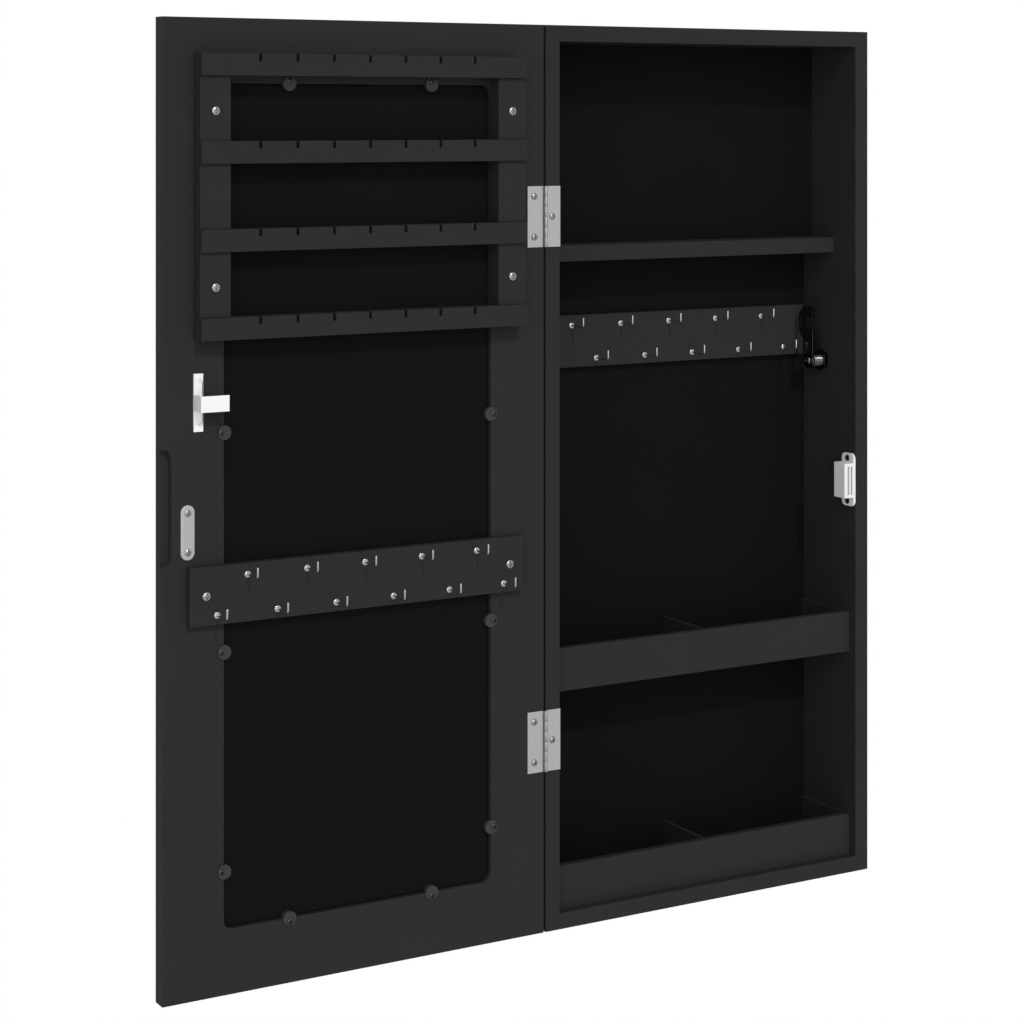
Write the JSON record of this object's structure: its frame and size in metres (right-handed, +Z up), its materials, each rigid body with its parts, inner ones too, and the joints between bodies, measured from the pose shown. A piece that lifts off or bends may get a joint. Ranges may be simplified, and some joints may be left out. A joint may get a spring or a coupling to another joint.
{
  "type": "jewelry mirror cabinet",
  "caption": "Slim wall-hung jewelry cabinet: full-height mirror door on side hinges with a necklace rack and hook bar; shelf, trays, hook bar, magnetic catch and cam lock inside.",
  "frame": {"origin": "midpoint between the two wall keyholes, on the rear plane that lies against the wall", "axes": "+Z up, +Y towards the wall so the front faces -Y, +X to the right seen from the front; the door is drawn open flat at 180 degrees to the left"},
  "size_m": [0.6043, 0.094, 0.67],
  "materials": {
    "painted_board": "fine satin black paint on fibreboard",
    "thin_board": "matt black hardboard",
    "mirror": "silvered float glass",
    "clip_plastic": "smoke-grey moulded plastic",
    "white_plastic": "white moulded plastic",
    "white_metal": "white coated sheet steel",
    "magnet": "dark sintered ferrite",
    "dowel_wood": "raw beech",
    "chrome": "bright plated",
    "plated_steel": "satin zinc plate",
    "screw_steel": "bright zinc plate",
    "dark_screw": "black zinc plate",
    "lock_metal": "nickel plated die casting"
  },
  "bodies": {
    "cabinet": {"back_panel": "thin_board", "back_panel_nails": "screw_steel", "bottom_panel": "painted_board", "cabinet_hook_bar": "painted_board", "cabinet_hook_bar_screws": "screw_steel", "cabinet_hooks": "chrome", "carcass_dowels": "dowel_wood", "catch_housing": "white_plastic", "catch_magnet": "magnet", "catch_pole_plates": "plated_steel", "catch_screws": "dark_screw", "hanger_plates": "plated_steel", "hanger_screws": "screw_steel", "hanging_board": "thin_board", "hinge_cabinet_screws": "screw_steel", "left_side_panel": "painted_board", "lock_barrel": "lock_metal", "lock_nut": "lock_metal", "lower_hinge_cabinet_leaf": "plated_steel", "lower_hinge_pin": "plated_steel", "lower_tray_dividers": "painted_board", "lower_tray_front": "painted_board", "right_side_panel": "painted_board", "shelf": "painted_board", "shelf_dowels": "dowel_wood", "top_panel": "painted_board", "upper_hinge_cabinet_leaf": "plated_steel", "upper_hinge_pin": "plated_steel", "upper_tray_base": "painted_board", "upper_tray_dividers": "painted_board", "upper_tray_front": "painted_board"},
    "door": {"door_frame": "painted_board", "door_hook_bar": "painted_board", "door_hook_bar_screws": "screw_steel", "door_hooks": "chrome", "hinge_door_screws": "screw_steel", "lock_bracket": "white_metal", "lock_bracket_screws": "white_metal", "lower_hinge_door_leaf": "plated_steel", "mirror_backing": "thin_board", "mirror_clip_screws": "dark_screw", "mirror_clips": "clip_plastic", "mirror_glass": "mirror", "rack_left_stile": "painted_board", "rack_rail_1": "painted_board", "rack_rail_2": "painted_board", "rack_rail_3": "painted_board", "rack_rail_4": "painted_board", "rack_right_stile": "painted_board", "rack_screws": "screw_steel", "strike_plate": "plated_steel", "strike_plate_screws": "screw_steel", "upper_hinge_door_leaf": "plated_steel"},
    "lock_rotor": {"lock_plug": "lock_metal", "lock_cam": "lock_metal", "lock_cam_screw": "lock_metal"}
  },
  "joints": [
    {"name": "door_hinge", "type": "hinge", "parent": "cabinet", "child": "door", "pos_m": [-0.1509, -0.0715, -0.295], "axis": [0, 0, 1], "range_deg": [0, 180]},
    {"name": "lock_turn", "type": "hinge", "parent": "cabinet", "child": "lock_rotor", "pos_m": [0.1245, -0.027, -0.2255], "axis": [1, 0, 0], "range_deg": [0, 90]}
  ]
}
